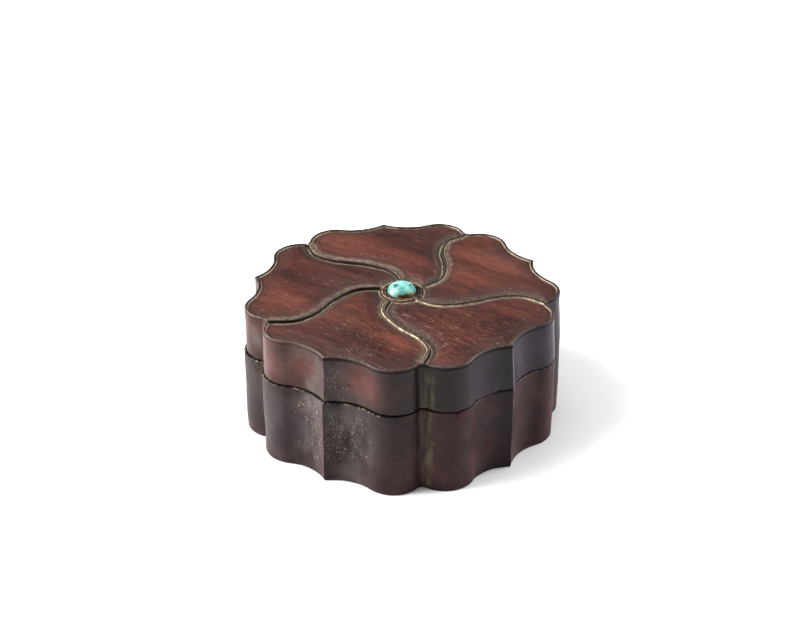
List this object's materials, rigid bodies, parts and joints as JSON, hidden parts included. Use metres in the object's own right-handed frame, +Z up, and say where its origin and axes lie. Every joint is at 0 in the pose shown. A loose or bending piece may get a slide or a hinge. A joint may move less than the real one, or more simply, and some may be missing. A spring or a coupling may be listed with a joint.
{
  "type": "lidded box",
  "caption": "Flower-shaped carved hardwood box with a lift-off lid of swirling overlapping petals around a domed turquoise cabochon.",
  "frame": {"origin": "centre of the underside, on the surface the box stands on", "axes": "+Z up through the lid and the stone, -Y towards the cusp of one petal"},
  "size_m": [0.096, 0.0941, 0.0428],
  "materials": {
    "base_wood": "satin",
    "lid_wood": "satin",
    "turquoise": "polished"
  },
  "bodies": {
    "root": {"box_base": "base_wood", "box_lid": "lid_wood", "turquoise_cabochon": "turquoise"}
  },
  "joints": []
}
